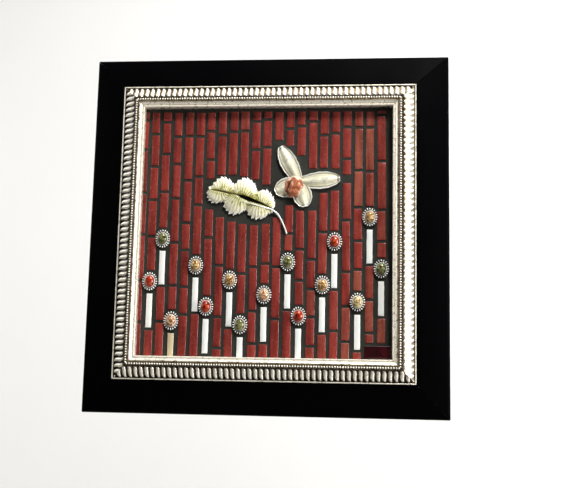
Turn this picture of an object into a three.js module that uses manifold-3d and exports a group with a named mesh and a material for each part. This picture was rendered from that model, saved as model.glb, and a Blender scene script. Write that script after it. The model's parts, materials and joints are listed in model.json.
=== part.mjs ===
// A square framed mosaic panel: black mitred rails, a silver ribbed liner, and a board of red
// glass strips set in dark grout, with fifteen stone-headed flowers, a leaf and a blossom.
// Millimetres, +Z up, the picture side faces -Y and the wall is at +Y.
// The origin is on the rear face of the hanger, where the panel meets the wall.
import * as THREE from "three";
import { mergeVertices } from "three/addons/utils/BufferGeometryUtils.js";
import Module from "manifold-3d";

const wasm = await Module();
wasm.setup();

// Driving sizes, from the board outwards
const sideMargin = 15;
const lipCover = 4.5;
const rabbetPlay = 1.5;
const railWidth = 32;
const joint = 0.3;

// Depths, measured from the back of the rails towards the viewer
const edgeDepth = 12;
const shoulderDepth = 24.6;
const seatDepth = 22;
const edgeRound = 2.4;

// Silver liner: widths across it, from the sight edge out, and heights above its seat
const lipWidth = 5.2;
const lineWidth = 1.2;
const beadWidth = 3.2;
const ribBandWidth = 10.8;
const grooveWidth = 0.8;
const filletWidth = 1.5;
const lipEdgeHeight = 6.1;
const beadHeight = 11.4;
const beadRound = 0.6;
const innerGrooveHeight = 7.9;
const outerGrooveHeight = 1.2;
const filletHeight = 3.2;
const filletRound = 0.6;
const ribStep = 0.5;
const ribRise = 1.6;
const ribPitch = 5.5;
const ribFlank = 0.2;
const ribCrest = 0.42;
const ribSlant = 2;

// Board and mosaic
const boardThickness = 6;
const groutThickness = 2.4;
const stripProud = 0.8;
const stripWidth = 7.8;
const stripLength = 36;
const stripSpread = 0.7;
const firstShare = 0.6;
const longestShare = 1.6;
const shortestStrip = 7;
const stripGap = 2.6;
const columnPitch = 11.2;
const columnsLeft = 11;
const columnsRight = 10;
const stripLean = THREE.MathUtils.degToRad(0.7);
const stripDrift = 0.7;
const widthSpread = 0.09;
const stripBury = 1;
const edgePlay = 0.8;

// Flowers: an oval stone in a beaded rim, over a white glass stem
const headWidth = 14.4;
const headLength = 17.6;
const rimThickness = 1.7;
const rimBeads = 13;
const rimNotch = 1.1;
const footShare = 0.45;
const stoneWidth = 8.4;
const stoneLength = 10.6;
const stoneHeight = 4.4;
const stoneSides = 10;
const stemWidth = 5.7;
const stemLength = 33;
const stemGap = 3;
const headGrout = 2.2;

// One row for each flower: its column, counted from the middle one, and the height of its head
// above the lower edge of the picture
const flowers = [
  { column: -10, height: 72, stone: "red" },
  { column: -9, height: 114, stone: "green" },
  { column: -8, height: 34, stone: "peach" },
  { column: -6, height: 88, stone: "amber" },
  { column: -5, height: 48, stone: "red" },
  { column: -3, height: 74, stone: "amber" },
  { column: -2, height: 31, stone: "green" },
  { column: 0, height: 60, stone: "peach" },
  { column: 2, height: 92, stone: "green" },
  { column: 3, height: 40, stone: "red" },
  { column: 5, height: 70, stone: "amber" },
  { column: 6, height: 112, stone: "red" },
  { column: 8, height: 54, stone: "cream" },
  { column: 9, height: 136, stone: "amber" },
  { column: 10, height: 86, stone: "green" },
];

// Leaf: its place is where the stalk joins the blade, and its turn is the way its midrib points
const leaf = { x: 7, z: 21, turn: THREE.MathUtils.degToRad(163) };
const leafLength = 66;
const leafWidth = 38;
const leafHeight = 5.6;
const leafEdge = 1.4;
const leafTeeth = 18;
const toothDepth = 1.3;
const leafLobes = 3;
const lobeShare = 0.3;
const midribDepth = 1.6;
const slotLength = 34;
const slotWidth = 2.6;
const stalkReach = { x: 14, z: -24 };
const stalkWidth = 2.2;
const stalkThickness = 1.8;

// Blossom: two long petals, two round ones and a cupped lip, all from its middle
const blossom = { x: 32, z: 48 };
const longPetal = { length: 40, width: 17, height: 4.4 };
const roundPetal = { length: 25, width: 19, height: 5 };
const petalEdge = 1.5;
const petals = [
  { ...longPetal, turn: THREE.MathUtils.degToRad(118) },
  { ...longPetal, turn: THREE.MathUtils.degToRad(5) },
  { ...roundPetal, turn: THREE.MathUtils.degToRad(203) },
  { ...roundPetal, turn: THREE.MathUtils.degToRad(285) },
];
const petalStations = 8;
const lip = { length: 21, width: 16, height: 6.5, x: -5, z: -5 };
const lipSides = 14;
const figureGrout = 4;

// Bare dark glass plaque in the lower right corner
const plaqueWidth = 26;
const plaqueHeight = 13;

// Hanger on the back of the top rail
const hangerLength = 46;
const hangerHeight = 12;
const hangerSheet = 1;
const hangerStep = 2.2;
const hangerTab = 9;
const hangerRamp = 3;
const hangerTeeth = 7;
const hangerToothDepth = 1.8;

// Everything below follows from the sizes above
const panelHalf = columnsRight * columnPitch + sideMargin;
const sightHalf = panelHalf - lipCover;
const rabbetHalf = panelHalf + rabbetPlay;
const linerWidth = lipWidth + lineWidth + beadWidth + ribBandWidth + grooveWidth + filletWidth + joint;
const linerHalf = sightHalf + linerWidth;
const frameHalf = linerHalf + railWidth;
const stripTop = seatDepth;
const groutTop = stripTop - stripProud;
const fieldBack = groutTop - groutThickness;
const boardFront = fieldBack - joint;
const hangerHeightOnRail = (rabbetHalf + frameHalf) / 2;

const materials = {
  lacquer: new THREE.MeshStandardMaterial({ color: 0x0b0b0c, roughness: 0.35 }),
  silver: new THREE.MeshStandardMaterial({ color: 0xcfc8b8, roughness: 0.3, metalness: 0.9 }),
  board: new THREE.MeshStandardMaterial({ color: 0x8a6b48, roughness: 0.8 }),
  mosaic: new THREE.MeshStandardMaterial({ color: 0x8e2a26, roughness: 0.35 }),
  mirror: new THREE.MeshStandardMaterial({ color: 0xf4f3ea, roughness: 0.1, metalness: 0.4 }),
  setting: new THREE.MeshStandardMaterial({ color: 0xd9d5c6, roughness: 0.3, metalness: 0.8 }),
  leaf: new THREE.MeshStandardMaterial({ color: 0xe6e2bf, roughness: 0.35, metalness: 0.4 }),
  enamel: new THREE.MeshStandardMaterial({ color: 0xebe6d2, roughness: 0.25 }),
  coral: new THREE.MeshStandardMaterial({ color: 0xc8714f, roughness: 0.25 }),
  plaque: new THREE.MeshStandardMaterial({ color: 0x3a0a10, roughness: 0.1 }),
  steel: new THREE.MeshStandardMaterial({ color: 0x9c9a92, roughness: 0.4, metalness: 0.9 }),
};

const stones = {
  red: new THREE.MeshStandardMaterial({ color: 0xb3211f, roughness: 0.2 }),
  green: new THREE.MeshStandardMaterial({ color: 0x6f7f3c, roughness: 0.2 }),
  amber: new THREE.MeshStandardMaterial({ color: 0xb98745, roughness: 0.2 }),
  peach: new THREE.MeshStandardMaterial({ color: 0xd59a72, roughness: 0.2 }),
  cream: new THREE.MeshStandardMaterial({ color: 0xcdbb7c, roughness: 0.2 }),
};

// The panel's own frame: its middle, on the back of the rails
const panel = new THREE.Group();
panel.position.set(0, -hangerStep - hangerSheet, -hangerHeightOnRail);
const root = new THREE.Group();
root.add(panel);

function addPiece(name, geometry, material, parent = panel) {
  const mesh = new THREE.Mesh(geometry, material);
  mesh.name = name;
  parent.add(mesh);
  return mesh;
}

// A repeatable number between -0.5 and 0.5 for two whole numbers
function scatter(a, b) {
  const wave = Math.sin(a * 12.9898 + b * 78.233) * 43758.5453;
  return wave - Math.floor(wave) - 0.5;
}

function solidOf(geometry) {
  const bare = geometry.index ? geometry.toNonIndexed() : geometry.clone();
  bare.deleteAttribute("normal");
  bare.deleteAttribute("uv");
  const merged = mergeVertices(bare, 1e-4);
  return new wasm.Manifold(
    new wasm.Mesh({
      numProp: 3,
      vertProperties: merged.attributes.position.array,
      triVerts: new Uint32Array(merged.index.array),
    }),
  );
}

function geometryOf(solid) {
  const mesh = solid.getMesh();
  const geometry = new THREE.BufferGeometry();
  geometry.setAttribute("position", new THREE.BufferAttribute(mesh.vertProperties, 3));
  geometry.setIndex(new THREE.BufferAttribute(mesh.triVerts, 1));
  geometry.computeVertexNormals();
  return geometry;
}

function joined(solids) {
  return solids.reduce((sum, solid) => sum.add(solid));
}

// A block given by its limits, in the panel's frame, with depths counted towards the viewer
function block(x0, x1, depth0, depth1, z0, z1) {
  const box = new THREE.BoxGeometry(x1 - x0, depth1 - depth0, z1 - z0);
  return box.translate((x0 + x1) / 2, -(depth0 + depth1) / 2, (z0 + z1) / 2);
}

// A flat outline drawn in x and z, and raised from one depth to another
function raised(shape, depth0, depth1, bevel = 0) {
  const geometry = new THREE.ExtrudeGeometry(shape, {
    depth: depth1 - depth0 - 2 * bevel,
    bevelEnabled: bevel > 0,
    bevelThickness: bevel,
    bevelSize: bevel,
    bevelOffset: -bevel,
    bevelSegments: 1,
    curveSegments: 5,
  });
  return geometry.translate(0, 0, depth0 + bevel).rotateX(Math.PI / 2);
}

function ovalShape(width, length, sides) {
  const shape = new THREE.Shape();
  for (let i = 0; i < sides; i++) {
    const angle = (2 * Math.PI * i) / sides;
    const x = (width / 2) * Math.cos(angle);
    const z = (length / 2) * Math.sin(angle);
    if (i === 0) shape.moveTo(x, z);
    else shape.lineTo(x, z);
  }
  return shape;
}

// The top one of four mitred lengths. Its profile is drawn as distance from the middle and depth.
function mitredLength(profile) {
  const shape = new THREE.Shape(profile.map(([out, depth]) => new THREE.Vector2(out, depth)));
  const geometry = new THREE.ExtrudeGeometry(shape, { depth: 1, bevelEnabled: false });
  const position = geometry.attributes.position;
  for (let i = 0; i < position.count; i++) {
    const out = position.getX(i);
    const depth = position.getY(i);
    const end = 2 * position.getZ(i) - 1;
    position.setXYZ(i, end * (out - joint * Math.SQRT1_2), -depth, out);
  }
  return geometry;
}

function addFourSides(name, geometry, material) {
  ["top", "right", "bottom", "left"].forEach((side, turn) => {
    addPiece(`${name}_${side}`, geometry, material).rotation.y = (turn * Math.PI) / 2;
  });
}

function addRails() {
  const profile = [
    [rabbetHalf, 0],
    [frameHalf, 0],
    [frameHalf, edgeDepth - edgeRound],
    [frameHalf - edgeRound * 0.3, edgeDepth - edgeRound * 0.3],
    [frameHalf - edgeRound, edgeDepth + edgeRound * 0.4],
    [linerHalf + filletWidth / 2, shoulderDepth],
    [linerHalf, shoulderDepth - filletWidth / 2],
    [linerHalf, seatDepth],
    [rabbetHalf, seatDepth],
  ];
  addFourSides("rail", mitredLength(profile), materials.lacquer);
}

// Slanted ribs on the outer slope of the liner, as one comb that is trimmed at the mitres. The
// line of their feet runs from one distance and depth to another.
function ribComb([outerOut, outerDepth], [innerOut, innerDepth]) {
  const ribs = Math.ceil((2 * linerHalf + ribSlant) / ribPitch) + 2;
  const start = (-ribs * ribPitch) / 2;
  const shape = new THREE.Shape();
  shape.moveTo(start, -ribRise);
  for (let i = 0; i < ribs; i++) {
    const foot = start + i * ribPitch;
    shape.lineTo(foot, 0);
    shape.lineTo(foot + ribPitch * ribFlank, ribRise);
    shape.lineTo(foot + ribPitch * (ribFlank + ribCrest), ribRise);
  }
  shape.lineTo(start + ribs * ribPitch, 0);
  shape.lineTo(start + ribs * ribPitch, -ribRise);
  const comb = new THREE.ExtrudeGeometry(shape, { depth: 1, bevelEnabled: false });
  const position = comb.attributes.position;
  for (let i = 0; i < position.count; i++) {
    const share = position.getZ(i);
    const x = position.getX(i) + ribSlant * (share - 0.5);
    const depth = THREE.MathUtils.lerp(outerDepth, innerDepth, share) + position.getY(i);
    position.setXYZ(i, x, -depth, THREE.MathUtils.lerp(outerOut, innerOut, share));
  }
  return comb;
}

function addLiner() {
  const under = seatDepth + joint;
  const outer = linerHalf - joint;
  const grooveOuter = outer - filletWidth;
  const bandOuter = grooveOuter - grooveWidth / 2;
  const bandInner = bandOuter - ribBandWidth;
  const beadOuter = bandInner - grooveWidth / 2;
  const beadInner = beadOuter - beadWidth;
  const outerGroove = under + outerGrooveHeight;
  const innerGroove = under + innerGrooveHeight;
  const beadShoulder = under + beadHeight - beadRound;
  const filletShoulder = under + filletHeight - filletRound;
  const profile = [
    [sightHalf, under],
    [outer, under],
    [outer, filletShoulder],
    [outer - filletWidth / 2, under + filletHeight],
    [grooveOuter, filletShoulder],
    [grooveOuter, outerGroove],
    [bandOuter - grooveWidth / 2, outerGroove],
    [bandInner + grooveWidth / 2, innerGroove],
    [beadOuter, innerGroove],
    [beadOuter, beadShoulder],
    [(beadOuter + beadInner) / 2, under + beadHeight],
    [beadInner, beadShoulder],
    [beadInner - lineWidth, beadShoulder],
    [sightHalf, under + lipEdgeHeight],
  ];
  const trim = [
    [beadOuter, under + outerGrooveHeight / 2],
    [grooveOuter, under + outerGrooveHeight / 2],
    [grooveOuter, under + beadHeight],
    [beadOuter, under + beadHeight],
  ];
  const comb = ribComb([bandOuter, outerGroove + ribStep], [bandInner, innerGroove + ribStep]);
  const ribs = solidOf(comb).intersect(solidOf(mitredLength(trim)));
  const liner = solidOf(mitredLength(profile)).add(ribs);
  addFourSides("liner", geometryOf(liner), materials.silver);
}

// Where a flower stands: its head's middle and the two ends of its stem
function flowerPlace({ column, height }) {
  const x = column * columnPitch;
  const z = height - sightHalf;
  const stemTop = z - headLength / 2 - stemGap;
  const stemBottom = Math.max(stemTop - stemLength, edgePlay - panelHalf);
  return { x, z, stemTop, stemBottom };
}

// A point at a distance from a place, in the direction of its turn
function along({ x, z, turn }, distance) {
  return { x: x + distance * Math.cos(turn), z: z + distance * Math.sin(turn) };
}

// The grout that is kept clear of strips round the leaf and the petals, as turned ovals
const clearings = [
  { ...along(leaf, leafLength / 2), length: leafLength, width: leafWidth, turn: leaf.turn },
  ...petals.map(({ length, width, turn }) => {
    return { ...along({ ...blossom, turn }, length / 2), length, width, turn };
  }),
].map((figure) => {
  const room = 2 * figureGrout;
  return { ...figure, length: figure.length + room, width: figure.width + room };
});

// The part of a column, from lower to upper, that an oval clearing takes
function clearedSpan(x, { x: cx, z: cz, length, width, turn }) {
  const reach = Math.hypot((length / 2) * Math.cos(turn), (width / 2) * Math.sin(turn));
  const near = Math.max(Math.abs(x - cx) - stripWidth / 2, 0) / reach;
  if (near >= 1) return null;
  const tall = Math.hypot((length / 2) * Math.sin(turn), (width / 2) * Math.cos(turn));
  const lean = ((length ** 2 - width ** 2) * Math.sin(2 * turn)) / 8 / reach;
  const shift = (lean * (x - cx)) / reach;
  const half = Math.sqrt(1 - near ** 2) * Math.sqrt(Math.max(tall ** 2 - lean ** 2, 0));
  return [cz + shift - half, cz + shift + half];
}

function takenSpans(column) {
  const x = column * columnPitch;
  const spans = clearings.map((clearing) => clearedSpan(x, clearing)).filter(Boolean);
  for (const flower of flowers.filter((one) => one.column === column)) {
    const { z, stemBottom } = flowerPlace(flower);
    spans.push([stemBottom - stripGap, z + headLength / 2 + headGrout]);
  }
  const plaqueLeft = sightHalf - plaqueWidth - stripGap / 2;
  if (x + stripWidth / 2 > plaqueLeft) spans.push([-panelHalf, plaqueHeight - sightHalf + stripGap]);
  return spans.sort((a, b) => b[1] - a[1]);
}

// Red strips of one column, from the top down: full lengths after a cut first one
function stripsOf(column) {
  const strips = [];
  const lowest = edgePlay - panelHalf;
  let top = panelHalf - edgePlay;
  let length = stripLength * (firstShare + stripSpread * scatter(column, 1));
  for (const [low, high] of [...takenSpans(column), [lowest, lowest]]) {
    while (top - high >= shortestStrip) {
      const rest = top - length - stripGap - high;
      const bottom = rest < shortestStrip ? high : top - length;
      if (top - bottom <= stripLength * longestShare) strips.push({ column, top, bottom });
      else {
        const half = (top + bottom) / 2;
        strips.push({ column, top, bottom: half + stripGap / 2 });
        strips.push({ column, top: half - stripGap / 2, bottom });
      }
      top = bottom - stripGap;
      length = stripLength * (1 + stripSpread * scatter(column, top));
    }
    top = Math.min(top, low);
  }
  return strips;
}

function stripSolid({ column, top, bottom }) {
  const turn = stripLean * 2 * scatter(column, bottom);
  const drift = stripDrift * scatter(bottom, column);
  const width = stripWidth * (1 + widthSpread * scatter(top, bottom));
  const middle = (top + bottom) / 2;
  const foot = groutTop - stripBury;
  const box = block(-width / 2, width / 2, foot, stripTop, bottom - middle, top - middle);
  return box.rotateY(turn).translate(column * columnPitch + drift, 0, middle);
}

function addMosaic() {
  const edge = panelHalf;
  addPiece(
    "backing_board",
    block(-edge, edge, boardFront - boardThickness, boardFront, -edge, edge),
    materials.board,
  );
  const outline = panelHalf - edgePlay / 4;
  const grout = solidOf(block(-outline, outline, fieldBack, groutTop, -outline, outline));
  const strips = [];
  for (let column = -columnsLeft; column <= columnsRight; column++) {
    strips.push(...stripsOf(column));
  }
  const inside = solidOf(block(-outline, outline, fieldBack, stripTop, -outline, outline));
  const red = joined(strips.map((strip) => solidOf(stripSolid(strip)))).intersect(inside);
  const pockets = flowers.map((flower) => {
    const { x, stemTop, stemBottom } = flowerPlace(flower);
    const half = stemWidth / 2 + joint;
    const low = stemBottom - joint;
    return solidOf(block(x - half, x + half, fieldBack - 1, stripTop + 1, low, stemTop + joint));
  });
  const right = sightHalf + joint;
  const upper = plaqueHeight - sightHalf + joint;
  const left = right - plaqueWidth - 2 * joint;
  const bay = block(left, right, groutTop - stripBury, stripTop + 1, -right, upper);
  const field = grout.add(red).subtract(joined([...pockets, solidOf(bay)]));
  addPiece("mosaic_field", geometryOf(field), materials.mosaic);
  const plaqueBack = groutTop - stripBury + joint;
  const plaque = block(
    sightHalf - plaqueWidth,
    sightHalf,
    plaqueBack,
    stripTop,
    -sightHalf,
    plaqueHeight - sightHalf,
  );
  addPiece("corner_plaque", plaque, materials.plaque);
}

function settingGeometry() {
  const rimBack = stripTop + joint;
  const outline = new THREE.Shape();
  for (let i = 0; i < 2 * rimBeads; i++) {
    const angle = (Math.PI * i) / rimBeads;
    const notch = i % 2 ? rimNotch : 0;
    const x = (headWidth / 2 - notch) * Math.cos(angle);
    const z = (headLength / 2 - notch) * Math.sin(angle);
    if (i === 0) outline.moveTo(x, z);
    else outline.lineTo(x, z);
  }
  const rim = solidOf(raised(outline, rimBack, rimBack + rimThickness));
  const foot = ovalShape(headWidth * footShare, headLength * footShare, 6);
  const cup = ovalShape(stoneWidth + 2 * joint, stoneLength + 2 * joint, stoneSides);
  const cupFloor = rimBack + rimThickness / 3;
  return geometryOf(
    rim
      .add(solidOf(raised(foot, groutTop + joint, rimBack + rimThickness / 4)))
      .subtract(solidOf(raised(cup, cupFloor, rimBack + rimThickness + 1))),
  );
}

function stoneGeometry() {
  const base = stripTop + joint + rimThickness / 3 + joint;
  const profile = [
    [0, 0],
    [1, 0],
    [1, 0.3],
    [0.72, 0.78],
    [0, 1],
  ].map(([radius, height]) => new THREE.Vector2(radius, height * stoneHeight));
  return new THREE.LatheGeometry(profile, stoneSides)
    .rotateX(Math.PI)
    .scale(stoneWidth / 2, 1, stoneLength / 2)
    .translate(0, -base, 0);
}

function addFlowers() {
  const setting = settingGeometry();
  const stone = stoneGeometry();
  flowers.forEach((flower, index) => {
    const number = String(index + 1).padStart(2, "0");
    const { x, z, stemTop, stemBottom } = flowerPlace(flower);
    const stem = block(-stemWidth / 2, stemWidth / 2, fieldBack, stripTop, stemBottom, stemTop);
    addPiece(`stem_${number}`, stem, materials.mirror).position.set(x, 0, 0);
    addPiece(`setting_${number}`, setting, materials.setting).position.set(x, 0, z);
    addPiece(`stone_${number}`, stone, stones[flower.stone]).position.set(x, 0, z);
  });
}

// A flat-backed blade with a modelled front, growing along X from its foot. Its half width is a
// function of the share of its length, and its height one of the shares of length and width.
function bladeGeometry(length, stations, across, halfWidthAt, heightAt) {
  const points = [];
  const faces = [];
  const row = across + 1;
  const backStart = (stations + 1) * row;
  const front = (i, j) => i * row + j;
  const back = (i, side) => backStart + 2 * i + side;
  const quad = (a, b, c, d) => faces.push(a, b, c, a, c, d);
  for (let i = 0; i <= stations; i++) {
    const half = halfWidthAt(i / stations, i);
    for (let j = 0; j <= across; j++) {
      const side = (2 * j) / across - 1;
      points.push((length * i) / stations, -heightAt(i / stations, side), side * half);
    }
  }
  for (let i = 0; i <= stations; i++) {
    const half = halfWidthAt(i / stations, i);
    points.push((length * i) / stations, 0, -half, (length * i) / stations, 0, half);
  }
  for (let i = 0; i < stations; i++) {
    for (let j = 0; j < across; j++) {
      quad(front(i, j), front(i + 1, j), front(i + 1, j + 1), front(i, j + 1));
    }
    quad(back(i, 0), back(i, 1), back(i + 1, 1), back(i + 1, 0));
    quad(front(i, 0), back(i, 0), back(i + 1, 0), front(i + 1, 0));
    quad(front(i, across), front(i + 1, across), back(i + 1, 1), back(i, 1));
  }
  for (const [i, flip] of [[0, false], [stations, true]]) {
    const ring = Array.from({ length: row }, (_, j) => front(i, j)).concat(back(i, 1));
    for (let k = 0; k + 1 < ring.length; k++) {
      const pair = flip ? [ring[k + 1], ring[k]] : [ring[k], ring[k + 1]];
      faces.push(back(i, 0), ...pair);
    }
  }
  const geometry = new THREE.BufferGeometry();
  geometry.setAttribute("position", new THREE.Float32BufferAttribute(points, 3));
  geometry.setIndex(faces);
  return geometry;
}

// Turns a blade to point the way that it grows, and sets its foot at a place and depth
function placed(geometry, { x, z }, turn, depth) {
  return geometry.rotateY(-turn).translate(x, -depth, z);
}

function leafHalfWidth(share, station) {
  const body = Math.sin(Math.PI * (0.04 + 0.92 * share) ** 0.9) ** 0.6;
  const lobes = 1 - lobeShare * (0.5 + 0.5 * Math.cos(2 * Math.PI * leafLobes * share));
  return (leafWidth / 2) * body * lobes - (station % 2 ? toothDepth : 0);
}

function leafSurface(share, side) {
  const crown = (leafHeight - leafEdge) * (1 - side ** 2) * (0.5 + 0.5 * Math.sin(Math.PI * share));
  return leafEdge + crown - midribDepth * Math.max(1 - 4 * Math.abs(side), 0);
}

function addLeaf() {
  const back = groutTop + joint;
  const stations = 2 * leafTeeth;
  const blade = bladeGeometry(leafLength, stations, 4, leafHalfWidth, leafSurface);
  const slot = new THREE.Shape();
  slot.moveTo(leafLength * 0.06, 0);
  slot.lineTo(leafLength * 0.06 + slotLength * 0.7, -slotWidth / 2);
  slot.lineTo(leafLength * 0.06 + slotLength, 0);
  slot.lineTo(leafLength * 0.06 + slotLength * 0.7, slotWidth / 2);
  const slotSolid = solidOf(placed(raised(slot, -1, leafHeight + 1), leaf, leaf.turn, back));
  const stalkBack = stripTop + joint;
  const start = along(leaf, leafLength * 0.05);
  const curve = new THREE.QuadraticBezierCurve3(
    new THREE.Vector3(start.x, 0, start.z),
    new THREE.Vector3(leaf.x + stalkReach.x * 0.75, 0, leaf.z + stalkReach.z * 0.3),
    new THREE.Vector3(leaf.x + stalkReach.x, 0, leaf.z + stalkReach.z),
  );
  const section = ovalShape(stalkThickness, stalkWidth, 6);
  const stalk = new THREE.ExtrudeGeometry(section, { extrudePath: curve, steps: 8 });
  stalk.translate(0, -stalkBack - stalkWidth / 2, 0);
  const solid = solidOf(placed(blade, leaf, leaf.turn, back)).subtract(slotSolid).add(solidOf(stalk));
  addPiece("leaf", geometryOf(solid), materials.leaf);
}

function petalSolid({ length, width, height, turn }) {
  const halfWidthAt = (share) => (width / 2) * Math.sin(Math.PI * (0.12 + 0.84 * share ** 1.3)) ** 0.6;
  const heightAt = (share, side) => {
    return petalEdge + (height - petalEdge) * (1 - side ** 2) * (1 - 0.6 * share ** 2);
  };
  const blade = bladeGeometry(length, petalStations, 4, halfWidthAt, heightAt);
  return solidOf(placed(blade, blossom, turn, groutTop + joint));
}

// The lip is a cupped dome; a slightly larger one cuts its seat in the petals
function lipGeometry(room) {
  const profile = [
    [0, 0],
    [1, 0],
    [1, 0.35],
    [0.78, 0.78],
    [0.4, 0.97],
    [0, 1],
  ].map(([radius, height]) => new THREE.Vector2(radius, height * lip.height));
  return new THREE.LatheGeometry(profile, lipSides)
    .rotateX(Math.PI)
    .scale(lip.width / 2 + room, 1 + room / lip.height, lip.length / 2 + room)
    .rotateY(THREE.MathUtils.degToRad(20))
    .translate(blossom.x + lip.x, room - groutTop - roundPetal.height / 2, blossom.z + lip.z);
}

function addBlossom() {
  const body = joined(petals.map(petalSolid)).subtract(solidOf(lipGeometry(joint)));
  addPiece("blossom", geometryOf(body), materials.enamel);
  addPiece("blossom_lip", lipGeometry(0), materials.coral);
}

// A pressed steel strip: end tabs on the rail, ramps, and a raised toothed middle
function addHanger() {
  const half = hangerLength / 2;
  const tab = half - hangerTab;
  const middle = tab - hangerRamp;
  const front = hangerStep;
  const rear = hangerStep + hangerSheet;
  const bend = new THREE.Shape(
    [
      [-half, joint],
      [-tab, joint],
      [-middle, front],
      [middle, front],
      [tab, joint],
      [half, joint],
      [half, joint + hangerSheet],
      [tab, joint + hangerSheet],
      [middle, rear],
      [-middle, rear],
      [-tab, joint + hangerSheet],
      [-half, joint + hangerSheet],
    ].map(([x, y]) => new THREE.Vector2(x, y)),
  );
  const strip = new THREE.ExtrudeGeometry(bend, { depth: hangerHeight, bevelEnabled: false });
  strip.translate(0, 0, hangerHeightOnRail - hangerHeight / 2);
  const low = hangerHeightOnRail - hangerHeight / 2;
  const teeth = new THREE.Shape();
  const pitch = (2 * middle) / hangerTeeth;
  teeth.moveTo(-middle, low - 1);
  for (let i = 0; i < hangerTeeth; i++) {
    teeth.lineTo(-middle + i * pitch, low);
    teeth.lineTo(-middle + (i + 0.5) * pitch, low + hangerToothDepth);
  }
  teeth.lineTo(middle, low);
  teeth.lineTo(middle, low - 1);
  const cut = solidOf(raised(teeth, -rear - 1, 1));
  addPiece("sawtooth_hanger", geometryOf(solidOf(strip).subtract(cut)), materials.steel);
}

addRails();
addLiner();
addMosaic();
addFlowers();
addLeaf();
addBlossom();
addHanger();

export default root;
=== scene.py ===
# A square framed mosaic panel: black rails, a silver ribbed liner, red glass strips in dark
# grout, stone-headed flowers, a leaf and a blossom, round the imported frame. Metres, +Z up.
import json
import math
import random

import bmesh
import bpy
from mathutils import Matrix, Vector, noise


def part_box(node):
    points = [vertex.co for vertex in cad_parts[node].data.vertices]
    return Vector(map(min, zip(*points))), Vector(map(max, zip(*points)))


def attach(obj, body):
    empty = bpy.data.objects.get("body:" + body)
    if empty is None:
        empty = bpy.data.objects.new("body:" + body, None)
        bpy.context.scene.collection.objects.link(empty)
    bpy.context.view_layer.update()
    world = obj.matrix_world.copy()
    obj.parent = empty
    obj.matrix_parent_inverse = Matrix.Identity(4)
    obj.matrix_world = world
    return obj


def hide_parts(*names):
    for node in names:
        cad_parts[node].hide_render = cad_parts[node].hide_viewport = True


bl_info = {
    "name": "Framed Mosaic Panel",
    "version": (1, 0, 0),
    "blender": (4, 5, 0),
    "location": "View3D > Sidebar > Mosaic",
    "description": "Finishes a framed panel of glass strips, stone flowers, a leaf and a blossom",
    "category": "Add Mesh",
}

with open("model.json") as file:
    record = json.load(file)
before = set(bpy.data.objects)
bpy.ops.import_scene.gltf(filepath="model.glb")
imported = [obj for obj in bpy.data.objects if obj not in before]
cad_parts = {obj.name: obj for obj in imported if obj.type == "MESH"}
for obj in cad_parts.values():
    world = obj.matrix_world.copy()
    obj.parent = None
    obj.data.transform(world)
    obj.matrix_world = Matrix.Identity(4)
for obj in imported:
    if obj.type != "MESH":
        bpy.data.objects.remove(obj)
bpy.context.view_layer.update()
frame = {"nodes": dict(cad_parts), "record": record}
MM = 0.001
SIDES = ("top", "right", "bottom", "left")
FACING = Matrix.Rotation(math.pi / 2, 4, "X")
WELD = 0.001 * MM


def box_of(node):
    """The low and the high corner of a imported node"""
    return (Vector(corner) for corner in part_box(node))


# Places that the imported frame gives
BOARD_LOW, BOARD_HIGH = box_of("backing_board")
MIDDLE = Vector((0, 0, (BOARD_LOW.z + BOARD_HIGH.z) / 2))
LINER_LOW, LINER_HIGH = box_of("liner_top")
SIGHT = LINER_LOW.z - MIDDLE.z
LINER_OUT = LINER_HIGH.z - MIDDLE.z
LINER_SEAT = LINER_HIGH.y
FIELD_LOW, FIELD_HIGH = box_of("mosaic_field")
STRIP_FRONT = FIELD_LOW.y
FIELD_BACK = FIELD_HIGH.y
FLOWERS = sorted(name[-2:] for name in frame["nodes"] if name.startswith("stone_"))
SLOTS = {part["node"]: part["material_slot"] for part in frame["record"]["subparts"]}

# Places that the part's source gives, from the middle of the panel
JOINT = 0.3 * MM
STRIP_PROUD = 0.8 * MM
TOP_GROUT = 3.2 * MM
GROUT_FRONT = STRIP_FRONT + STRIP_PROUD
FIGURE_BACK = GROUT_FRONT - JOINT
LEAF_PLACE = MIDDLE + Vector((7, 0, 21)) * MM
LEAF_TURN = math.radians(163)
LEAF_BOW = 2.6 * MM
LEAF_FAN = 0.8
BLOSSOM_PLACE = MIDDLE + Vector((32, 0, 48)) * MM
LEAST_HEIGHT = 0.7 * MM


def length_setting(name, description, default, least=0):
    """A length, whose default and least value are given in millimetres"""
    return bpy.props.FloatProperty(
        name=name, description=description, default=default * MM, min=least * MM, unit="LENGTH")


def colour_setting(name, description, default):
    return bpy.props.FloatVectorProperty(
        name=name, description=description, default=default, subtype="COLOR", min=0, max=1)


# Settings that a user would change
class FrameSettings(bpy.types.PropertyGroup):
    rail_round: length_setting("Rail Round", "Radius on the black rails' arrises", 0.45)
    rib_pitch: length_setting("Rib Pitch", "Distance between the liner's ribs", 5.5, 1)
    rib_slant: length_setting("Rib Slant", "How far a rib's head stands along from its foot", 2, -10)
    bead_pitch: length_setting("Bead Pitch", "Distance between the liner's beads", 2.48, 1)
    lacquer: colour_setting("Lacquer", "Colour of the black rails", (0.0009, 0.0009, 0.0012))
    silver: colour_setting("Silver", "Colour of the bright silver leaf", (0.93, 0.89, 0.8))


class MosaicSettings(bpy.types.PropertyGroup):
    red: colour_setting("Red Glass", "Main colour of the strips", (0.262, 0.036, 0.027))
    grout: colour_setting("Grout", "Colour of the grout", (0.0125, 0.013, 0.009))
    pearl: colour_setting("Pearl Glass", "Colour of the flowers' stems", (0.9, 0.89, 0.84))
    edge_round: length_setting("Edge Round", "Width of the rounding along a strip's edge", 0.5)
    wobble: length_setting("Wobble", "How far a hand-cut edge strays from its line", 0.22)
    grout_relief: length_setting("Grout Relief", "Height of the unevenness in the grout", 0.35)


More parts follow.
